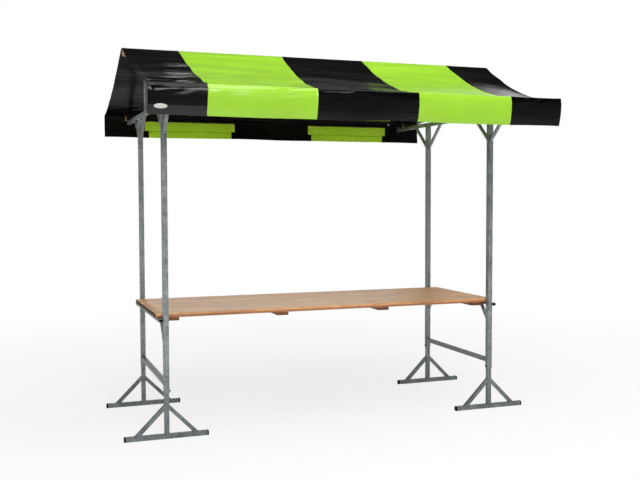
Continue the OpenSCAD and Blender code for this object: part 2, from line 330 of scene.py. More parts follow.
def pine(name, pale, warm, dark, stave, growth, gloss, knots=0.35, shade=None):
    """Planed pine, sawn along the grain that runs with X or Y: long flame lines and broad
    streaks, a tint for each stave, small knots. stave is the width of one glued stave,
    growth the axis that the grain runs along, and shade the two heights between which
    painted shade darkens the wood downward."""
    material, tree, surface = new_material(name)
    place = object_place(tree)
    axes = add(tree, "SeparateXYZ", {0: place})
    across = axes.outputs[1 if growth == "X" else 0]
    staves = add(tree, "Math", {0: across, 1: stave}, operation="DIVIDE").outputs[0]
    number = add(tree, "Math", {0: staves}, operation="FLOOR").outputs[0]
    own = add(tree, "TexWhiteNoise", {"W": number}, noise_dimensions="1D")
    shift = add(tree, "VectorMath", {0: own.outputs["Color"], 1: (7.0, 7.0, 7.0)}, operation="MULTIPLY")
    moved = add(tree, "VectorMath", {0: place, 1: shift.outputs[0]}, operation="ADD").outputs[0]
    along = (34, 1, 1) if growth == "X" else (1, 34, 1)
    wavy = (7, 1, 1) if growth == "X" else (1, 7, 1)
    fibres = noise(tree, moved, 3.2 * MM, detail=3, stretch=along)
    flames = noise(tree, moved, 26 * MM, detail=3, roughness=0.45, stretch=wavy)
    rings = add(tree, "Math", {0: flames, 1: 46.0}, operation="MULTIPLY")
    lines = add(tree, "Math", {0: rings.outputs[0]}, operation="SINE").outputs[0]
    tone = mixed(tree, remap(tree, lines, -1, 1, 0, 1), linear(pale), linear(warm))
    tinted = mixed(tree, remap(tree, own.outputs["Value"], 0, 1, 0.0, 0.4), tone, linear(warm), "MULTIPLY")
    broad = noise(tree, moved, 55 * MM, detail=4, roughness=0.6, stretch=wavy)
    streaked = mixed(tree, remap(tree, broad, 0.48, 0.68, 0, 0.5), tinted, linear(dark))
    fine = mixed(tree, remap(tree, fibres, 0.45, 0.75, 0, 0.4), streaked, linear(dark))
    knot_apart = (0.26, 0.10, 0.10) if growth == "X" else (0.10, 0.26, 0.10)
    spread = add(tree, "Mapping", {"Vector": moved, "Scale": [1 / apart for apart in knot_apart]})
    spots = add(tree, "TexVoronoi", {"Vector": spread.outputs[0], "Scale": 1.0, "Randomness": 0.9})
    lot = add(tree, "SeparateColor", {0: spots.outputs["Color"]}).outputs[0]
    some = add(tree, "Math", {0: lot, 1: 1 - knots}, operation="GREATER_THAN").outputs[0]
    ring = remap(tree, spots.outputs["Distance"], 0.05, 0.14, 0.9, 0)
    knot = add(tree, "Math", {0: ring, 1: some}, operation="MULTIPLY").outputs[0]
    coloured = mixed(tree, knot, fine, linear(dark))
    if shade:
        # painted shade: below the given heights the wood is mixed toward its dark colour, as its lower
        # faces turn from the light
        low = remap(tree, axes.outputs[2], shade[0], shade[1], 0.75, 0)
        coloured = mixed(tree, low, coloured, linear(dark))
    tree.links.new(coloured, surface.inputs["Base Color"])
    tree.links.new(remap(tree, fibres, 0.3, 0.7, gloss, gloss + 0.14), surface.inputs["Roughness"])
    surface.inputs["IOR"].default_value = 1.5
    bumped(tree, surface, fibres, 0.12 * MM, 0.6)
    return material


def end_grain():
    """Pine end grain, sawn: grey-brown and darker than the faces, in part its own tone and in
    part painted shade on the ends that face from the light, with tight year rings and dark damp spots."""
    material, tree, surface = new_material("pine_end_grain_painted_shade")
    place = object_place(tree)
    rings = add(tree, "TexWave", {"Vector": place, "Scale": 55.0, "Distortion": 3.0}, bands_direction="Z")
    damp = noise(tree, place, 35 * MM, detail=3)
    # painted shade: both ring tones are darkened for the shaded end faces, on top of the end grain's own
    # darker tone
    tone = mixed(tree, rings.outputs["Fac"], linear("#3d2f24"), linear("#57432f"))
    spotted = mixed(tree, remap(tree, damp, 0.52, 0.68, 0, 0.8), tone, linear("#1e1812"))
    tree.links.new(spotted, surface.inputs["Base Color"])
    surface.inputs["Roughness"].default_value = 0.75
    bumped(tree, surface, rings.outputs["Fac"], 0.2 * MM, 0.5)
    return material


def hem_dust_and_sheen(tree, axes):
    """How much dust and painted sheen the sheet shows, 0 to 1: all of the front hem near the
    left gable and a trace of the rest of it."""
    hem_top = float(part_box("canopy")[LOW][Z]) - FRONT_HEM_DROP + HEM_H
    low = remap(tree, axes[2], hem_top - 2 * MM, hem_top + 1 * MM, 1, 0)
    left = remap(tree, axes[0], -DUST_SHEEN_END - DUST_SHEEN_FADE, -DUST_SHEEN_END, 1, DUST_SHEEN_ELSEWHERE)
    front = remap(tree, axes[1], -0.5, -0.4, 1, 0)
    near = add(tree, "Math", {0: low, 1: left}, operation="MULTIPLY").outputs[0]
    return add(tree, "Math", {0: near, 1: front}, operation="MULTIPLY").outputs[0]


def coated_sheet(name, base, cloudy, worn, rough, gloss, crease, dusty=None):
    """Polyester cloth coated with PVC and lacquered: even colour, a wet-looking sheen that
    breaks up on creases, and the grid of the threads showing faintly through the coat.
    dusty is the pale colour laid on the front hem near the left gable: partly dust, partly
    painted sheen where the stiff hem catches the light."""
    material, tree, surface = new_material(name)
    place = object_place(tree)
    cloud = noise(tree, place, 0.28, detail=4)
    smears = noise(tree, place, 60 * MM, detail=4, stretch=(4, 1, 1))
    tone = mixed(tree, remap(tree, cloud, 0.35, 0.7, 0, 1), linear(base), linear(cloudy))
    sheet_colour = mixed(tree, remap(tree, smears, 0.52, 0.8, 0, 0.5), tone, linear(worn))
    axes = add(tree, "SeparateXYZ", {0: place})
    # dust and painted sheen: a pale band along the front hem near the left gable
    if dusty:
        sheet_colour = mixed(tree, hem_dust_and_sheen(tree, axes.outputs), sheet_colour, linear(dusty))
    tree.links.new(sheet_colour, surface.inputs["Base Color"])
    tree.links.new(remap(tree, smears, 0.3, 0.75, rough, rough + 0.1), surface.inputs["Roughness"])
    surface.inputs["IOR"].default_value = 1.53
    surface.inputs["Specular IOR Level"].default_value = gloss
    thread = 2.4 * MM  # threads are 1 mm apart, drawn coarser so that they show
    turns = 2 * math.pi / thread
    warp = add(tree, "Math", {0: axes.outputs[0], 1: turns}, operation="MULTIPLY").outputs[0]
    run = add(tree, "Math", {0: axes.outputs[1], 1: axes.outputs[2]}, operation="ADD").outputs[0]
    weft = add(tree, "Math", {0: run, 1: turns}, operation="MULTIPLY").outputs[0]
    waves = [add(tree, "Math", {0: w}, operation="SINE").outputs[0] for w in (warp, weft)]
    weave = add(tree, "Math", {0: waves[0], 1: waves[1]}, operation="ADD").outputs[0]
    creases = noise(tree, place, 35 * MM, detail=5, stretch=(3, 1, 1))
    height = add(tree, "Math", {0: weave, 1: 0.02, 2: creases}, operation="MULTIPLY_ADD").outputs[0]
    bumped(tree, surface, height, crease, 0.5)
    return material


HEM_H = 55 * MM
FRONT_HEM_DROP = 6 * MM
BACK_HEM_DROP = -12 * MM
# Where the hem's pale band of dust and painted sheen ends and fades near the left gable, and how much of it
# the rest of the hem keeps
DUST_SHEEN_END = 0.8
DUST_SHEEN_FADE = 0.1
DUST_SHEEN_ELSEWHERE = 0.04

STEEL = galvanised_steel()
WELD = weld_steel()
SCREW = zinc_screw_steel()
CAP = cap_polyethylene()
STUD = stud_plastic()
PATCH = patch_vinyl()
board_low, board_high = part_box("table_board")
# Heights of the painted shade along the board's lower edge
board_painted_shade = (float(board_low[2]) + 10 * MM, float(board_high[2]) - 6 * MM)
BOARD_PINE = pine(
    "pine_staves_planed_oiled", "#fcc890", "#ecaa70", "#8e5430", 0.128, "X", 0.27, 0.45, board_painted_shade)
END_GRAIN = end_grain()
batten_low, batten_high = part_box("table_battens")
# Heights of the painted shade that darkens the battens' lower sides
batten_painted_shade = (float(batten_low[2]) + 4 * MM, float(batten_high[2]) - 8 * MM)
BATTEN_PINE = pine(
    "pine_battens_planed", "#c88a4c", "#a56c38", "#4d2f1b", 0.755, "Y", 0.5, shade=batten_painted_shade)
BEAM_TIMBER = pine("spruce_beams_planed", "#c9a988", "#b08c69", "#6b4c32", 0.5, "X", 0.5)
# The black's last colour is the pale hem band of dust and painted sheen
BLACK_SHEET = coated_sheet(
    "polyester_sheet_coated_black", "#050505", "#070708", "#0f0f10", 0.08, 0.22, 1.2 * MM, "#2c2c2c")
# A darker, duller copy of the black for the inner faces and the pockets: painted shade for the inside of
# the canopy
BLACK_BACK_PAINTED_SHADE = coated_sheet(
    "polyester_sheet_coated_black_back_painted_shade", "#040404", "#050505", "#0a0a0a", 0.22, 0.09, 1.2 * MM)
LIME_SHEET = coated_sheet(
    "polyester_sheet_coated_lime", "#a2da37", "#9dd333", "#a9e042", 0.15, 0.5, 0.5 * MM)
# A lighter copy of the lime for the inner faces: painted light, standing in for the light that shines
# through the sheet and up from the floor
LIME_BACK_PAINTED_LIGHT = coated_sheet(
    "polyester_sheet_coated_lime_back_painted_light", "#c6f53c", "#c0ef38", "#caf845", 0.2, 0.4, 0.5 * MM)


# ---------------------------------------------------------------- steel and timber of the frame

NODE_FINISH = {
    "galvanised_steel": STEEL,
    "zinc_screws": SCREW,
    "black_caps": CAP,
    "white_plastic": STUD,
    "beam_timber": BEAM_TIMBER,
    "board_pine": BOARD_PINE,
    "batten_pine": BATTEN_PINE,
    "canopy_sheet": BLACK_SHEET,
    "patch_plastic": PATCH,
}
TUBE_CORNER = 2.5 * MM
TIMBER_CORNER = 2.5 * MM
PLASTIC_CORNER = 1.2 * MM
LONG_EDGE = 60 * MM
SHORT_EDGE_SHARE = 0.2
SHARP_CORNER = math.radians(35)


def softened(node, radius):
    """Stands a rounded copy in for a CAD node: merged and cleared of flat-face edges, then
    bevelled by radius on its long outer corners and by a fifth of that on its short ones."""
    source = nodes[node]
    work = bmesh.new()
    work.from_mesh(source.data)
    bmesh.ops.remove_doubles(work, verts=work.verts, dist=0.01 * MM)
    bmesh.ops.dissolve_limit(work, angle_limit=math.radians(1), verts=work.verts, edges=work.edges)
    weight = work.edges.layers.float.new("bevel_weight_edge")
    for edge in work.edges:
        if edge.is_convex and edge.calc_face_angle(0) > SHARP_CORNER:
            edge[weight] = 1.0 if edge.calc_length() > LONG_EDGE else SHORT_EDGE_SHARE
    mesh = bpy.data.meshes.new(node + "_rounded")
    work.to_mesh(mesh)
    work.free()
    piece = bpy.data.objects.new(node + "_rounded", mesh)
    bpy.context.scene.collection.objects.link(piece)
    bevel = piece.modifiers.new("bevel", "BEVEL")
    bevel.limit_method = "WEIGHT"
    bevel.width = radius
    bevel.segments = 3
    bevel.harden_normals = False
    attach(piece, "root")
    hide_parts(node)
    return piece


def finish_nodes():
    """Gives every node the material of its slot, and rounded copies to tubes and timber."""
    slot_of = {part["node"]: part["material_slot"] for part in frame["record"]["subparts"]}
    for name, slot in slot_of.items():
        node = nodes[name]
        target = node
        if slot == "galvanised_steel" and "clip" not in name:
            target = softened(name, TUBE_CORNER)
        elif slot in ("beam_timber", "batten_pine"):
            target = softened(name, TIMBER_CORNER)
        elif slot == "black_caps":
            target = softened(name, PLASTIC_CORNER)
        target.data.materials.clear()
        target.data.materials.append(NODE_FINISH[slot])


finish_nodes()


# ---------------------------------------------------------------- welds

BEAD_R = 2.0 * MM
BEAD_STEP = 2.4 * MM
BEAD_SCALE = 3.6 * MM
BEAD_SIDES = 7
ON_PLANE = 0.2 * MM


def corners_of(node):
    """All mesh points of a node as an (n, 3) array."""
    mesh = nodes[node].data
    points = np.empty(len(mesh.vertices) * 3, np.float32)
    mesh.vertices.foreach_get("co", points)
    return points.reshape(-1, 3).astype(float)


def seat(node, axis, value, low=(-9, -9, -9), high=(9, 9, 9)):
    """The rectangle that a tube's end fills on a plane: the box of the node's points that lie
    on the plane and between low and high."""
    points = corners_of(node)
    here = np.abs(points[:, axis] - value) < ON_PLANE
    here &= np.all((points > np.array(low)) & (points < np.array(high)), axis=1)
    return points[here].min(0), points[here].max(0), axis


def shared(one, other, axis, value):
    """The rectangle where two nodes that touch on a plane overlap."""
    low = np.maximum(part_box(one)[LOW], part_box(other)[LOW])
    high = np.minimum(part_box(one)[HIGH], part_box(other)[HIGH])
    low[axis] = high[axis] = value
    return low, high, axis


def bead(low, high, axis, seed):
    """A closed weld bead round a rectangle: a ring carried along the four sides, its radius
    swelling by |sin| once for each ripple and wandering a little along the way."""
    u, v = [a for a in (X, Y, Z) if a != axis]
    size = (high[u] - low[u], high[v] - low[v])
    length = 2 * (size[0] + size[1])
    count = max(12, int(length / BEAD_STEP))
    s = np.arange(count) / count * length
    turns = np.cumsum([0, size[0], size[1], size[0], size[1]])
    path = np.zeros((count, 3))
    path[:, axis] = low[axis]
    path[:, u] = np.interp(s, turns, [low[u], high[u], high[u], low[u], low[u]])
    path[:, v] = np.interp(s, turns, [low[v], low[v], high[v], high[v], low[v]])
    path = (path + np.roll(path, 1, 0) + np.roll(path, -1, 0)) / 3
    forward = np.roll(path, -1, 0) - np.roll(path, 1, 0)
    forward /= np.linalg.norm(forward, axis=1, keepdims=True)
    up = np.zeros(3)
    up[axis] = 1
    out = np.cross(forward, up)
    radius = BEAD_R * (0.85 + 0.3 * np.abs(np.sin(math.pi * s / BEAD_SCALE)))
    radius *= 1 + 0.12 * ripples(s, 0 * s, 0.03, 1, seed)
    a = np.linspace(0, 2 * math.pi, BEAD_SIDES, endpoint=False)
    ring = out[:, None] * np.cos(a)[None, :, None] + up * np.sin(a)[None, :, None]
    return path[:, None] + ring * radius[:, None, None]


def weld_seats():
    """Every rectangle of the frame that is welded round."""
    seats = []
    for side, hand in (("left", LEFT), ("right", RIGHT)):
        rail, braces = side + "_head_rail", side + "_head_braces"
        rail_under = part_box(rail)[LOW][Z]
        outside = max(abs(c[X]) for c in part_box(rail)) * hand
        seats.append(shared(side + "_king_post", rail, X, outside))
        for end, way in (("front", FRONT), ("back", BACK)):
            post, foot = f"{side}_{end}_post", f"{side}_{end}_foot"
            low, high = (np.array(c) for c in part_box(post))
            faces = (low[Y], high[Y])
            inner = min(faces, key=abs)
            seats.append(shared(post, rail, Z, rail_under))
            seats.append(seat(side + "_lower_rail", Y, inner))
            seats.append(seat(side + "_table_braces", Y, inner))
            seats.append(shared(side + "_table_bearer", post, X, max(low[X], high[X], key=abs)))
            for face, toward in zip(faces, (-1, 1)):
                seats.append(seat(braces, Y, face))
                span = sorted((face, face + toward * 0.5))
                seats.append(seat(braces, Z, rail_under, (-9, span[0], 0), (9, span[1], 9)))
            hooked = max((c[Y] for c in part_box(rail)), key=lambda y: y * way)
            seats.append(shared(side + "_beam_hooks", rail, Y, hooked))
            seats += foot_seats(foot)
    return seats


def foot_seats(foot):
    """Where a foot's stub and braces stand on its bar, and where the braces meet the stub."""
    low, high = (np.array(c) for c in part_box(foot))
    middle = (low + high) / 2
    tube = high[Y] - low[Y]
    bar_top = low[Z] + tube
    near = middle[Y] + np.array([-1, 1]) * (tube / 2 - 1 * MM)
    found = []
    for hand in (LEFT, RIGHT):
        face = middle[X] + hand * tube / 2
        span = sorted((face + hand * 5 * MM, face + hand * 1.0))
        found.append(seat(foot, Z, bar_top, (span[0], near[0], 0), (span[1], near[1], 9)))
        found.append(seat(foot, X, face, (-9, near[0], bar_top + 5 * MM), (9, near[1], 9)))
    stub_low, stub_high = middle - tube / 2, middle + tube / 2
    stub_low[Z] = stub_high[Z] = bar_top
    found.append((stub_low, stub_high, Z))
    return found


def make_welds():
    """All weld beads of the frame as one piece."""
    points, faces, first = [], [], 0
    for seed, (low, high, axis) in enumerate(weld_seats()):
        grid = bead(np.array(low), np.array(high), axis, 200 + seed)
        faces.append(grid_faces(*grid.shape[:2], first=first, wrap_rows=True, wrap_columns=True))
        points.append(grid.reshape(-1, 3))
        first += len(points[-1])
    points, faces = np.concatenate(points), np.concatenate(faces)
    turn_outward(new_piece("weld_beads", points, faces, [WELD]))


make_welds()


# ---------------------------------------------------------------- table board

STAVE = 128 * MM
GROOVE_W = 1.2 * MM
GROOVE_DEEP = 0.7 * MM
EDGE_R = 7 * MM
UNDER_R = 6 * MM
END_R = 1.5 * MM
BOARD_SPANS = 24


def board_outline(low, high):
    """The board's cross-section as (y, z) points: round long edges, and a fine V-groove
    along the top wherever two glued staves meet."""
    y0, z0 = low[1], low[2]
    y1, z1 = high[1], high[2]
    quarter = np.linspace(0, math.pi / 2, 7)
    first_joint = math.ceil((y0 + 2 * EDGE_R) / STAVE)
    last_joint = math.floor((y1 - 2 * EDGE_R) / STAVE)
    joints = np.arange(first_joint, last_joint + 1)
    top = []
    for y in joints * STAVE:
        top += [(y - GROOVE_W, z1), (y, z1 - GROOVE_DEEP), (y + GROOVE_W, z1)]
    turns = [(math.cos(a), math.sin(a)) for a in quarter]
    front_top = [(y0 + EDGE_R - EDGE_R * c, z1 - EDGE_R + EDGE_R * s) for c, s in turns]
    back_top = [(y1 - EDGE_R + EDGE_R * s, z1 - EDGE_R + EDGE_R * c) for c, s in turns]
    back_low = [(y1 - UNDER_R + UNDER_R * c, z0 + UNDER_R - UNDER_R * s) for c, s in turns]
    front_low = [(y0 + UNDER_R - UNDER_R * s, z0 + UNDER_R - UNDER_R * c) for c, s in turns]
    return np.array(front_top + top + back_top + back_low + front_low)


def make_board():
    """The board: its outline carried along X, drawn in a little at both ends so that the
    end edges are broken, and closed by flat end faces."""
    low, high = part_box("table_board")
    outline = board_outline(low, high)
    middle = (outline.min(0) + outline.max(0)) / 2
    half = (outline.max(0) - outline.min(0)) / 2
    stations = [(0.0, END_R), (END_R * 0.4, END_R * 0.3), (END_R, 0.0)]
    rows = [(low[0] + x, inset) for x, inset in stations]
    length = high[0] - low[0]
    rows += [(low[0] + length * i / BOARD_SPANS, 0.0) for i in range(1, BOARD_SPANS)]
    rows += [(high[0] - x, inset) for x, inset in reversed(stations)]
    points = []
    for x, inset in rows:
        ring = middle + (outline - middle) * (1 - inset / half)
        points.append(np.column_stack([np.full(len(ring), x), ring]))
    points = np.array(points)
    count = len(outline)
    faces = grid_faces(len(rows), count, wrap_columns=True)
    piece = new_piece("table_staves", points, faces, [BOARD_PINE, END_GRAIN])
    last = (len(rows) - 1) * count

    def add_ends(work):
        work.verts.ensure_lookup_table()
        for ring in (range(count), range(last + count - 1, last - 1, -1)):
            end = work.faces.new([work.verts[i] for i in ring])
            end.material_index = 1

    turn_outward(piece, add_ends)
    piece.data.set_sharp_from_angle(angle=math.radians(30))
    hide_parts("table_board")


make_board()


# ---------------------------------------------------------------- canopy

SHEET_T = 0.9 * MM
HEM_GAP = 0.5 * MM
COLUMN_COUNT = 168
STRIPE = 0.68
STRIPE_MIDDLE = -18 * MM
OVERLAP = 30 * MM
SEAM_RISE = 0.7 * MM
SEAM_EDGE = 1.5 * MM
LAP_FADE = 12 * MM
HEM_RISE = 0.5 * MM
GABLE_HEM_W = 29 * MM
TO_BLACK = (LEFT, RIGHT, LEFT, RIGHT)
RIDGE_R = 8 * MM
FOLD_INSET = 4 * MM
FOLD_R = 6.2 * MM
FRONT_BULGE = 9 * MM
BACK_BULGE = 4 * MM
SHOULDER_H = 0.2
# Where the slopes are creased near the folds, and how much
CREASE_AT = (-1.39, -1.30, -1.08, -1.03, -0.90, 0.05, 0.20, 0.31, 0.45, 0.98, 1.08, 1.39)
CREASE_SIZE = (0.5, 1.0, 1.2, 0.5, 0.12, 0.15, 0.7, 0.6, 0.12, 0.2, 1.1, 0.8)
# Values at the left gable, at the four seams and at the right gable: how far the sheet is
# pulled askew along X at the ridge, the front fold, the front hem and the back fold, how
# far it stands out below each fold, and each slope's sag
RIDGE_PULL = (0.0, 0.034, 0.107, 0.051, 0.079, 0.052)
FRONT_PULL = (0.0, -0.002, -0.001, 0.001, -0.006, -0.004)
HEM_PULL = (-0.002, -0.008, -0.008, -0.006, -0.014, -0.018)
BACK_PULL = (0.0, 0.0, 0.010, 0.046, 0.036, 0.0)
FRONT_SHOULDER = (0.009, 0.011, 0.007, 0.003, 0.006, 0.003)
BACK_SHOULDER = (0.004, 0.006, 0.005, 0.006, 0.005, 0.004)
FRONT_SAG = (0.036, 0.026, 0.040, 0.058, 0.056, 0.076)
BACK_SAG = (0.044, 0.032, 0.050, 0.052, 0.040, 0.060)
SAG_LEAN = 0.15
RIDGE_SPREAD = 4 * MM
CLOSER_LOW = 0.45
HEM_STEP = 0.012
EDGE_WAVE = 1.5 * MM
VALANCE_WAVE = 2.0 * MM
VALANCE_CREASE = 1.0 * MM
SLOPE_WAVE = 1.6 * MM
SLOPE_STREAK = 0.4 * MM
SLOPE_CRUMPLE = 1.7 * MM
FRONT_SEED, BACK_SEED = 11, 40

canopy_low, canopy_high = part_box("canopy")
beam_low, beam_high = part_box("back_eaves_beam")
ridge_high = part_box("ridge_beam")[HIGH]
half_canopy = float(canopy_high[0])
seams = [STRIPE_MIDDLE + STRIPE * n for n in (-1.5, -0.5, 0.5, 1.5)]
knots = [-half_canopy] + seams + [half_canopy]
gable_step = (half_canopy - GABLE_HEM_W - 2 * MM, half_canopy - GABLE_HEM_W)
fold_y = float(beam_high[1]) - FOLD_INSET
fold_z = float(beam_high[2]) - FOLD_INSET
SLOPE_ROWS, FOLD_ROWS, VALANCE_ROWS, TURN_ROWS, HEM_ROWS, RIDGE_ROWS = 84, 7, 20, 5, 7, 4


def sheet_columns():
    """X of each column: about 16 mm apart, and closer at the seams and the gable hems."""
    wide = np.linspace(-half_canopy, half_canopy, COLUMN_COUNT)
    gable = (*gable_step, half_canopy - 4 * MM, half_canopy)
    extra = [side * at for side in (LEFT, RIGHT) for at in gable]
    for seam, to_black in zip(seams, TO_BLACK):
        extra += [seam, seam - SEAM_EDGE, seam + SEAM_EDGE, seam + to_black * OVERLAP]
    near = np.min(np.abs(wide[:, None] - np.array(extra)[None, :]), axis=1)
    return np.sort(np.concatenate([wide[near > 3 * MM], extra]))


def is_black(x, lap):
    """True where the black stripes show, each drawn back by lap at its seams."""
    edges = [seam + to_black * lap for seam, to_black in zip(seams, TO_BLACK)]
    return np.searchsorted(edges, x) % 2 == 0


def seam_step(x):
    """Height of the welded overlap: the black panel lies on the lime one, so the face steps
    up at each seam and falls away gently where the lime panel ends underneath."""
    total = np.zeros_like(x)
    for seam, to_black in zip(seams, TO_BLACK):
        d = (x - seam) * to_black
        step = smooth_step(d, -SEAM_EDGE, 0) * (1 - smooth_step(d, OVERLAP, OVERLAP + LAP_FADE))
        total = np.maximum(total, step)
    return total


def arc(middle_h, middle_z, radius, angle):
    """Points of an arc about a middle, as an (h, z) pair."""
    return middle_h + radius * np.cos(angle), middle_z + radius * np.sin(angle)


def upper_rows(sag):
    """The ridge's arc, the slope and the fold's arc, each as an (h, z) pair. Also how far
    down the slope each of its rows is, 0 to 1, and the slope's run."""
    ridge_h = float(ridge_high[Y]) - RIDGE_R + RIDGE_SPREAD
    ridge_z = float(canopy_high[Z]) - RIDGE_R
    run = fold_y - ridge_h
    drop = ridge_z + RIDGE_R - fold_z - FOLD_R
    first_lean = -(drop + sag * 4 * (1 - SAG_LEAN)) / run
    last_lean = -(drop - sag * 4 * (1 + SAG_LEAN)) / run
    first_angle = np.arctan2(1, -first_lean)
    last_angle = np.arctan2(1, -last_lean)
    t = np.linspace(0, 1, RIDGE_ROWS)[None, :]
    ridge = arc(ridge_h, ridge_z, RIDGE_R, math.pi / 2 + (first_angle - math.pi / 2) * t)
    fold = arc(fold_y, fold_z, FOLD_R, last_angle * (1 - np.linspace(0, 1, FOLD_ROWS)[None, :]))
    start = ridge[0][:, -1:], ridge[1][:, -1:]
    end = arc(fold_y, fold_z, FOLD_R, last_angle)
    even = np.linspace(0, 1, SLOPE_ROWS + 2)[None, 1:-1]
    t = 1 - (1 - even) * (1 - CLOSER_LOW * even)
    bow = 4 * t * (1 - t) * (1 + SAG_LEAN * (2 * t - 1))
    slope = start[0] + (end[0] - start[0]) * t, start[1] + (end[1] - start[1]) * t - sag * bow
    return (ridge, slope, fold), t, run


def valance_bulge(x, side, seed, t, z, hem_top):
    """How far the valance stands out from its fold, t of the way down it."""
    shoulder = eased(x, knots, FRONT_SHOULDER if side == FRONT else BACK_SHOULDER)[:, None]
    shoulder = shoulder * (1 + 0.2 * ripples(x, 0 * x, 0.22, 1, seed + 4)[:, None])
    wave = ripples(x[:, None], z, 0.55, 0.5, seed + 1)
    small = ripples(x[:, None], z, 0.16, 0.045, seed + 2)
    patchy = smooth_step(ripples(x[:, None], z, 0.5, 0.3, seed + 3), 0.0, 1.2)
    creased_top = eased(x, CREASE_AT, CREASE_SIZE)[:, None] * (1 - smooth_step(t, 0.2, 0.5))
    return (
        shoulder * (1 - (1 - np.minimum(t / SHOULDER_H, 1)) ** 2) * (1 - t)
        + (FRONT_BULGE if side == FRONT else BACK_BULGE) * 4 * t * (1 - t)
        + HEM_RISE * smooth_step(t, hem_top, hem_top + HEM_STEP)
        + VALANCE_WAVE * wave * t
        + VALANCE_CREASE * small * (patchy + 0.8 * creased_top) * (1 - t)
    )


def lower_rows(x, side, seed):
    """The valance, the half circle under its edge and the hem turned up inside it, each as
    an (h, z) pair. Also the height of the valance's edge."""
    hem_drop = FRONT_HEM_DROP if side == FRONT else BACK_HEM_DROP
    uneven = EDGE_WAVE * ripples(x, 0 * x, 0.7, 1, seed + 5)[:, None]
    hem_z = float(canopy_low[Z]) - hem_drop + uneven
    hem_top = 1 - HEM_H / float(np.mean(fold_z - hem_z))
    even = np.linspace(0, 1, VALANCE_ROWS - 1)[1:] ** 1.25
    valance_t = np.sort(np.concatenate([even, [hem_top, hem_top + HEM_STEP]]))
    t = valance_t[None, :]
    valance_z = fold_z + (hem_z - fold_z) * t
    valance = fold_y + FOLD_R + valance_bulge(x, side, seed, t, valance_z, hem_top), valance_z

    turn_r = SHEET_T + HEM_GAP / 2
    a = np.linspace(0, math.pi, TURN_ROWS + 2)[None, 1:-1]
    foot_h, foot_z = valance[0][:, -1:], valance[1][:, -1:]
    turn = foot_h - turn_r + turn_r * np.cos(a), foot_z - turn_r * np.sin(a)

    up = foot_z + HEM_H * np.linspace(0, 1, HEM_ROWS)[None, :]
    along = (fold_z - up) / (fold_z - hem_z)
    column = np.arange(len(x))[:, None]
    place = np.interp(along, valance_t, np.arange(VALANCE_ROWS))
    row = np.clip(np.floor(place).astype(int), 0, VALANCE_ROWS - 2)
    part = place - row
    face = valance[0][column, row] * (1 - part) + valance[0][column, row + 1] * part
    return (valance, turn, (face - 2 * turn_r, up)), hem_z


def slope_lift(x, t, run, seed):
    """Ripples of the slope along its normal: long waves, fine streaks, and a crumple near
    the fold where the sheet is creased. None at the ridge and at the fold."""
    far = t * run
    long_wave = ripples(x[:, None], far, 1.1, 0.22, seed + 6)
    streaks = ripples(x[:, None], far, 0.42, 0.07, seed + 7)
    crumple = ripples(x[:, None] + 0.5 * far, far, 0.24, 0.045, seed + 8)
    where = smooth_step(ripples(x[:, None], far, 0.6, 0.5, seed + 9), -0.2, 1.0)
    near_fold = smooth_step(t, 0.5, 0.9)
    creased = eased(x, CREASE_AT, CREASE_SIZE)[:, None] + 0.4 * where
    held = smooth_step(t, 0, 0.06) * (1 - smooth_step(t, 0.985, 1.0))
    return held * (
        SLOPE_WAVE * long_wave
        + SLOPE_STREAK * streaks * (0.4 + where)
        + SLOPE_CRUMPLE * crumple * creased * near_fold
    )


def half_profile(x, side, seed):
    """Outer face of one half of the sheet, from the ridge to the turned-up end of its hem,
    and how far its ripples lift each point along the face's normal.

    In the half's own plane, h is the distance out from the ridge and z the height. The
    rows are, in turn: an arc over the ridge beam's edge; the slope, a straight line less
    sag times 4t(1-t)(1 + lean(2t-1)); an arc over the eaves beam's corner; the valance,
    with a rounded shoulder at its top and a bulge of 4t(1-t) shape; a half circle under
    its edge; and the hem, straight up inside it."""
    sag = eased(x, knots, FRONT_SAG if side == FRONT else BACK_SAG)[:, None]
    upper, slope_t, run = upper_rows(sag)
    lower, hem_z = lower_rows(x, side, seed)
    h = np.concatenate([p[0] + 0 * sag for p in upper + lower], axis=1)
    z = np.concatenate([p[1] + 0 * sag for p in upper + lower], axis=1)
    pulls = (FRONT_PULL, HEM_PULL) if side == FRONT else (BACK_PULL, BACK_PULL)
    at_ridge, at_fold, at_hem = (eased(x, knots, pull)[:, None] for pull in (RIDGE_PULL, *pulls))
    out = np.clip(h / fold_y, 0, 1)
    down = np.clip((fold_z - z) / (fold_z - hem_z), 0, 1)
    pulled = x[:, None] + at_ridge * (1 - out) + at_fold * (out - down) + at_hem * down
    lift = np.zeros_like(h)
    lift[:, RIDGE_ROWS:RIDGE_ROWS + SLOPE_ROWS] = slope_lift(x, slope_t, run, seed)
    return np.stack([pulled, side * h, z], -1), lift


def sheet_faces(x):
    """Both faces of the whole sheet as (column, row, 3) grids, the inner one SHEET_T inside."""
    back, back_lift = half_profile(x, BACK, BACK_SEED)
    front, front_lift = half_profile(x, FRONT, FRONT_SEED)
    outer = np.concatenate([back[:, ::-1], front], axis=1)
    lift = np.concatenate([back_lift[:, ::-1], front_lift], axis=1)
    normal = grid_normals(outer)
    steps = SEAM_RISE * seam_step(x) + HEM_RISE * smooth_step(np.abs(x), *gable_step)
    outer = outer + normal * (lift + steps[:, None])[..., None]
    normal = grid_normals(outer)
    return outer, outer - SHEET_T * normal


def grid_normals(grid):
    """Unit normals of a (column, row, 3) grid: across its columns times along its rows."""
    along_x = np.gradient(grid, axis=0)
    along_rows = np.gradient(grid, axis=1)
    normal = np.cross(along_x, -along_rows)
    return normal / np.linalg.norm(normal, axis=-1, keepdims=True)


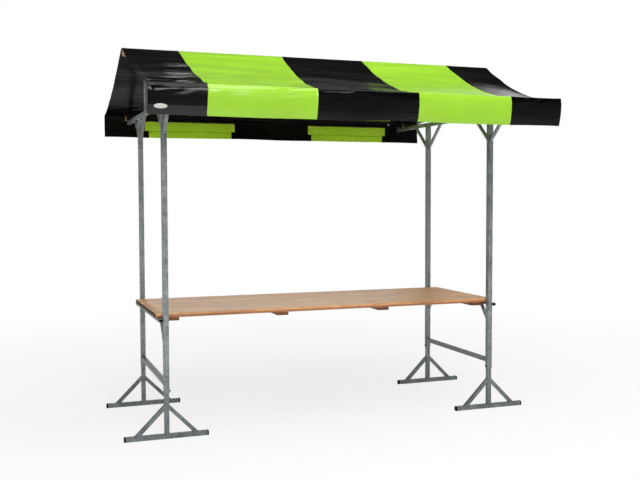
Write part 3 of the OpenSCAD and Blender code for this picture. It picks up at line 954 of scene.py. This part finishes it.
def make_canopy():
    """The sheet as one closed shell, each face lime or black by the stripe it lies in."""
    x = sheet_columns()
    outer, inner = sheet_faces(x)
    columns, rows = outer.shape[:2]
    count = columns * rows
    points = np.concatenate([outer.reshape(-1, 3), inner.reshape(-1, 3)])
    outer_faces = grid_faces(columns, rows)
    inner_faces = grid_faces(columns, rows, first=count)[:, ::-1]
    index = np.arange(count).reshape(columns, rows)
    rim = np.concatenate([index[:, 0], index[-1, 1:], index[-2::-1, -1], index[0, -2:0:-1]])
    after = np.roll(rim, -1)
    rim_faces = np.stack([rim, after, after + count, rim + count], -1)
    middle = (x[1:] + x[:-1]) / 2
    turned_up = np.zeros(rows - 1, int)
    turned_up[:HEM_ROWS + 1] = turned_up[-HEM_ROWS - 1:] = 1
    outer_black = np.repeat(is_black(middle, 0.0), rows - 1) + 2 * np.tile(turned_up, columns - 1)
    inner_black = np.repeat(is_black(middle, OVERLAP), rows - 1)
    rim_x = (points[rim, 0] + points[after, 0]) / 2
    chosen = np.concatenate([outer_black, 2 + inner_black, is_black(rim_x, 0.0) * 1])
    faces = np.concatenate([outer_faces, inner_faces, rim_faces])
    piece = new_piece(
        "canopy_sheet", points, faces, [LIME_SHEET, BLACK_SHEET, LIME_BACK_PAINTED_LIGHT, BLACK_BACK_PAINTED_SHADE],
        chosen,
    )
    turn_outward(piece)
    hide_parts("canopy")
    steps = np.linalg.norm(np.diff(outer[columns // 2], axis=0), axis=1)
    return piece, float(steps.sum()), BVHTree.FromPolygons(points.tolist(), faces.tolist())


canopy, canopy_girth, canopy_tree = make_canopy()


POCKET_GAP = 1.0 * MM
POCKET_T = 0.9 * MM
POCKET_END = 12 * MM
POCKET_UP = 46 * MM
FLAP_END = 8 * MM
POCKET_CORNER = 3 * MM
POCKET_SLACK = 0.6 * MM
POCKET_COLUMNS = 90
POCKET_SEED = 77


def pocket_path():
    """The pocket's cross-section as (distance from the ridge, height) points, and how many
    of them come before it turns under the beam."""
    inside = float(beam_low[Y]) - POCKET_GAP
    under = float(beam_low[Z]) - POCKET_GAP
    outside = float(beam_high[Y]) + POCKET_GAP
    top = float(beam_high[Z])
    corner = POCKET_CORNER
    path = [(inside - POCKET_UP * 0.9, top + 12 * MM)]
    path += [(inside - POCKET_UP * 0.4, top + 6 * MM), (inside - 2 * MM, top)]
    path += [(inside, z) for z in np.linspace(top - 6 * MM, under + corner, 6)]
    side_rows = len(path)
    for a in np.linspace(0, math.pi / 2, 5)[1:]:
        path.append((inside + corner - corner * math.cos(a), under + corner - corner * math.sin(a)))
    path += [(h, under) for h in np.linspace(inside + 2 * corner, outside, 5)]
    return np.array(path), side_rows


def make_pocket(side):
    """Black strip that holds an eaves beam against the sheet: from the slope's inner face
    down the beam's inner side, round its lower corner and across to the valance. Beyond
    the head rails only its flap on the beam's inner side runs on."""
    name = "front_beam_pocket" if side == FRONT else "back_beam_pocket"
    clear = float(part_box("right_head_rail")[LOW][X]) - POCKET_END
    end = float(beam_high[X]) - FLAP_END
    x = np.sort(np.concatenate([np.linspace(-end, end, POCKET_COLUMNS), (-clear, clear)]))
    path, side_rows = pocket_path()
    h = np.broadcast_to(path[:, 0], (len(x), len(path)))
    z = np.broadcast_to(path[:, 1], (len(x), len(path)))
    slack = np.abs(ripples(x[:, None], z, 0.3, 0.1, POCKET_SEED + side) * POCKET_SLACK)
    points = np.stack([np.broadcast_to(x[:, None], h.shape), side * (h - slack), z - slack], -1)
    faces = grid_faces(len(x), len(path))
    outside_rail = np.abs(x[faces // len(path)]).max(1) > clear + 1 * MM
    wraps_under = (faces % len(path)).max(1) >= side_rows
    faces = faces[~(outside_rail & wraps_under)]
    if side == BACK:
        faces = faces[:, ::-1]
    piece = new_piece(name, points, faces, [BLACK_BACK_PAINTED_SHADE])
    solid = piece.modifiers.new("thickness", "SOLIDIFY")
    solid.thickness = POCKET_T
    solid.offset = 1
    return piece


PATCH_T = 1.0 * MM
PATCH_SIDES = 48
# Each ring of the patch: its share of the oval's half size, and of the patch's thickness
PATCH_FACE = ((0.02, 1.0), (0.4, 1.0), (0.75, 1.0), (0.93, 0.92), (0.985, 0.6), (1.0, 0.1))
PATCH_BACK = ((0.98, 0.05), (0.5, 0.05), (0.02, 0.05))


def make_patch():
    """The blank oval patch, laid on the sheet: each point takes its Y from the valance
    behind it, and the face falls to the sheet round its rim."""
    low, high = (np.array(c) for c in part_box("blank_patch"))
    middle, half = (low + high) / 2, (high - low) / 2
    a = np.linspace(0, 2 * math.pi, PATCH_SIDES, endpoint=False)
    rings = PATCH_FACE + PATCH_BACK
    grid = []
    for reach, rise in rings:
        for turn in a:
            x = middle[X] + half[X] * reach * math.cos(turn)
            z = middle[Z] + half[Z] * reach * math.sin(turn)
            hit, _, _, _ = canopy_tree.ray_cast(Vector((x, low[Y] - 0.5, z)), Vector((0, 1, 0)))
            grid.append((x, hit.y - PATCH_T * rise, z))
    faces = grid_faces(len(rings), PATCH_SIDES, wrap_columns=True)
    piece = new_piece("sheet_patch", grid, faces, [PATCH])
    turn_outward(piece, lambda work: bmesh.ops.holes_fill(work, edges=work.edges, sides=PATCH_SIDES))
    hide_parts("blank_patch")
    return piece


pockets = [make_pocket(side) for side in (FRONT, BACK)]
patch = make_patch()


# ---------------------------------------------------------------- studio

FLOOR_HALF = 60.0
FLOOR_SHADE_R = 2.0
FLOOR_WHITE_R = 6.0
FLOOR_NEAR_WHITE = 0.78
FLOOR_GLOSS = 0.4


def make_floor():
    """A pale floor that keeps the stall's soft shadow and runs out to white."""
    corners = ((-1, -1), (1, -1), (1, 1), (-1, 1))
    mesh = bpy.data.meshes.new("floor")
    mesh.from_pydata([(x * FLOOR_HALF, y * FLOOR_HALF, 0) for x, y in corners], [], [(0, 1, 2, 3)])
    floor = bpy.data.objects.new("floor", mesh)
    bpy.context.scene.collection.objects.link(floor)
    material = bpy.data.materials.new("studio_floor")
    material.use_nodes = True
    tree = material.node_tree
    tree.nodes.clear()
    paint = add(tree, "BsdfDiffuse", {"Color": linear("#f4f4f4")})
    glow = add(tree, "Emission", {"Color": (1, 1, 1, 1), "Strength": 1.0})
    rays = add(tree, "LightPath").outputs
    gloss = add(tree, "Math", {0: rays["Is Glossy Ray"], 1: FLOOR_GLOSS}, operation="MULTIPLY").outputs[0]
    seen = add(tree, "Math", {0: rays["Is Camera Ray"], 1: gloss}, operation="MAXIMUM")
    seen = add(tree, "Math", {0: seen.outputs[0], 1: rays["Is Transmission Ray"]}, operation="MAXIMUM")
    away = add(tree, "VectorMath", {0: object_place(tree)}, operation="LENGTH").outputs["Value"]
    white = remap(tree, away, FLOOR_SHADE_R, FLOOR_WHITE_R, FLOOR_NEAR_WHITE, 1.0)
    share = add(tree, "Math", {0: seen.outputs[0], 1: white}, operation="MULTIPLY")
    both = add(tree, "MixShader", {0: share.outputs[0], 1: paint.outputs[0], 2: glow.outputs[0]})
    add(tree, "OutputMaterial", {"Surface": both.outputs[0]})
    mesh.materials.append(material)


WALL_TOP = math.sin(math.radians(10))
CEILING = math.sin(math.radians(30))
WALL_LIGHT = 0.30
CEILING_LIGHT = 0.03


def make_world():
    """A backdrop that looks white, and lights as a pale wall under a dim ceiling."""
    world = bpy.data.worlds.new("studio")
    bpy.context.scene.world = world
    world.use_nodes = True
    tree = world.node_tree
    tree.nodes.clear()
    up = add(tree, "SeparateXYZ", {0: add(tree, "TexCoord").outputs["Generated"]}).outputs[2]
    room = remap(tree, up, WALL_TOP, CEILING, WALL_LIGHT, CEILING_LIGHT)
    seen = add(tree, "LightPath").outputs["Is Camera Ray"]
    shade = add(tree, "Math", {0: seen, 1: room}, operation="MAXIMUM").outputs[0]
    back = add(tree, "Background", {"Color": (1, 1, 1, 1), "Strength": shade})
    add(tree, "OutputWorld", {"Surface": back.outputs[0]})


def make_lamp(name, place, target, wide, high, power):
    """A soft box at a place, turned to face a target."""
    data = bpy.data.lights.new(name, "AREA")
    data.shape = "RECTANGLE"
    data.size = wide
    data.size_y = high
    data.energy = power
    lamp = bpy.data.objects.new(name, data)
    bpy.context.scene.collection.objects.link(lamp)
    lamp.visible_camera = False
    aim = Vector(target) - Vector(place)
    lamp.matrix_world = Matrix.Translation(place) @ aim.to_track_quat("-Z", "Y").to_matrix().to_4x4()


# Each soft box: its place, the point it faces, its width and height, and its power in watts
LAMPS = {
    "key": ((-4.0, -8.8, 6.8), (0, 0, 1.2), 5.5, 4.5, 270),
    "fold": ((0.15, -8.2, 5.7), (-1.2, -1.1, 2.2), 1.4, 3.0, 155),
    "top": ((0.5, -2.0, 7.5), (0, -0.3, 1.5), 6.0, 5.0, 350),
    "left": ((-7.4, -2.0, 5.3), (0, 0, 0.9), 3.0, 3.0, 160),
    "right": ((7.4, -2.0, 5.3), (0, 0, 0.9), 3.0, 3.0, 160),
    "rear": ((1.8, 9.5, 3.9), (0, 0, 2.2), 6.5, 2.2, 70),
    "streak": ((0.3, 6.5, 5.4), (-1.15, -0.6, 2.35), 0.34, 0.36, 0.55),
    "rear_right": ((8.0, 8.5, 5.0), (1, 0, 2.2), 4.5, 4.0, 40),
}

make_floor()
make_world()
for lamp_name, lamp_setting in LAMPS.items():
    make_lamp(lamp_name, *lamp_setting)

scene = bpy.context.scene
scene.view_settings.view_transform = "Standard"
